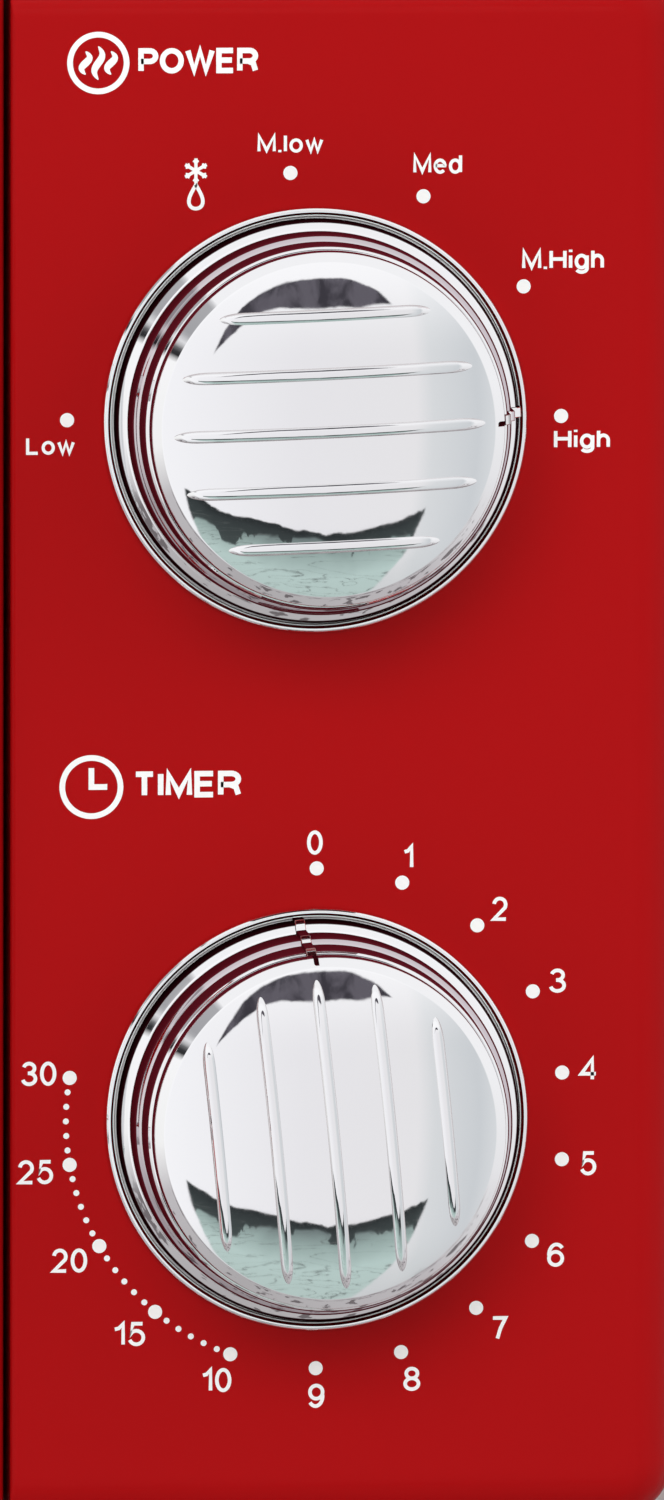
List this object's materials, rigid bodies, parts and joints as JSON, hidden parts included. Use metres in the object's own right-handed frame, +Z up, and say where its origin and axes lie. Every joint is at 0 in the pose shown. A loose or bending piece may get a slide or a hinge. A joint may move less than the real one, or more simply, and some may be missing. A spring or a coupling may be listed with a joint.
{
  "type": "microwave oven",
  "caption": "Retro countertop microwave oven with a glossy red body, side-hinged windowed door, chrome handle, turntable and two stepped chrome dials for power level and time.",
  "frame": {"origin": "centre of the object's footprint, at the height that the feet stand on", "axes": "+X to the oven's right as seen from the front, +Y towards the back, +Z up"},
  "size_m": [0.447, 0.374, 0.259],
  "materials": {
    "red_enamel": "gloss",
    "red_moulding": "gloss",
    "chrome": "polished",
    "dark_glass": "gloss",
    "clear_glass": "gloss",
    "black_plastic": "matte",
    "white_plastic": "matte",
    "zinc_steel": "satin",
    "cavity_enamel": "satin",
    "rubber": "matte",
    "laminated_steel": "satin",
    "copper": "satin",
    "aluminium": "satin",
    "mica": "matte",
    "circuit_board": "matte"
  },
  "bodies": {
    "chassis": {"control_panel": "red_moulding", "outer_cover": "red_enamel", "base_plate": "zinc_steel", "rear_panel": "zinc_steel", "front_plate": "cavity_enamel", "oven_cavity": "cavity_enamel", "foot_front_left": "rubber", "foot_front_right": "rubber", "foot_rear_left": "rubber", "foot_rear_right": "rubber", "cord_gland": "black_plastic", "hinge_upper": "zinc_steel", "hinge_lower": "zinc_steel", "waveguide": "zinc_steel", "waveguide_cover": "mica", "magnetron": "aluminium", "transformer_core": "laminated_steel", "transformer_windings": "copper", "capacitor": "aluminium", "capacitor_clamp": "zinc_steel", "high_voltage_diode": "black_plastic", "fan_shroud": "black_plastic", "fan_motor": "laminated_steel", "turntable_motor": "zinc_steel", "lamp_bulb": "clear_glass", "lamp_holder": "white_plastic", "thermal_cutout": "black_plastic", "filter_board": "circuit_board", "latch_bracket": "white_plastic", "door_switch_lower": "black_plastic", "door_switch_upper": "black_plastic", "power_selector": "white_plastic", "timer_unit": "white_plastic", "timer_bell": "zinc_steel", "power_trim_ring": "chrome", "timer_trim_ring": "chrome"},
    "door": {"door_frame": "red_moulding", "door_window": "dark_glass", "window_trim": "chrome", "choke_plate": "cavity_enamel", "door_screen": "black_plastic", "choke_cover": "black_plastic", "handle_bar": "chrome", "handle_post_lower": "chrome", "handle_post_upper": "chrome", "hinge_pin_lower": "zinc_steel", "hinge_pin_upper": "zinc_steel", "latch_spring": "zinc_steel"},
    "latch": {"latch_lever": "white_plastic"},
    "turntable": {"turntable_plate": "clear_glass", "turntable_coupler": "white_plastic"},
    "roller_ring": {"roller_ring": "white_plastic"},
    "roller_1": {"roller_1": "white_plastic"},
    "roller_2": {"roller_2": "white_plastic"},
    "roller_3": {"roller_3": "white_plastic"},
    "power_dial": {"power_knob": "chrome", "power_shaft": "zinc_steel"},
    "timer_dial": {"timer_knob": "chrome", "timer_shaft": "zinc_steel"},
    "fan": {"fan_blade": "white_plastic"}
  },
  "joints": [
    {"name": "door_hinge", "type": "hinge", "parent": "chassis", "child": "door", "pos_m": [-0.213, -0.128, 0.135], "axis": [0, 0, -1], "range_deg": [0, 100]},
    {"name": "latch_slide", "type": "slide", "parent": "door", "child": "latch", "axis": [0, 0, 1], "range_m": [0, 0.004], "stiffness_N_per_m": 400, "deforming": ["latch_spring"]},
    {"name": "turntable_spin", "type": "hinge", "parent": "chassis", "child": "turntable", "pos_m": [-0.0525, 0.0279, 0.05], "axis": [0, 0, 1], "continuous": true},
    {"name": "roller_ring_spin", "type": "hinge", "parent": "chassis", "child": "roller_ring", "pos_m": [-0.0525, 0.0279, 0.0413], "axis": [0, 0, 1], "continuous": true},
    {"name": "roller_1_spin", "type": "hinge", "parent": "roller_ring", "child": "roller_1", "pos_m": [0.0426, 0.0279, 0.0413], "axis": [1, 0, 0], "continuous": true},
    {"name": "roller_2_spin", "type": "hinge", "parent": "roller_ring", "child": "roller_2", "pos_m": [-0.10005, 0.11026, 0.0413], "axis": [-0.5, 0.866, 0], "continuous": true},
    {"name": "roller_3_spin", "type": "hinge", "parent": "roller_ring", "child": "roller_3", "pos_m": [-0.10005, -0.05446, 0.0413], "axis": [-0.5, -0.866, 0], "continuous": true},
    {"name": "power_dial_turn", "type": "hinge", "parent": "chassis", "child": "power_dial", "pos_m": [0.1649, -0.153, 0.1872], "axis": [0, 1, 0], "range_deg": [-178, 0]},
    {"name": "timer_dial_turn", "type": "hinge", "parent": "chassis", "child": "timer_dial", "pos_m": [0.1654, -0.153, 0.0766], "axis": [0, 1, 0], "range_deg": [0, 286]},
    {"name": "fan_spin", "type": "hinge", "parent": "chassis", "child": "fan", "pos_m": [0.1575, 0.1672, 0.17], "axis": [0, 1, 0], "continuous": true}
  ],
  "couplings": [
    {"joint": "roller_ring_spin", "follows": "turntable_spin", "ratio": 0.5},
    {"joint": "roller_1_spin", "follows": "turntable_spin", "ratio": -6.7929},
    {"joint": "roller_2_spin", "follows": "turntable_spin", "ratio": -6.7929},
    {"joint": "roller_3_spin", "follows": "turntable_spin", "ratio": -6.7929}
  ]
}
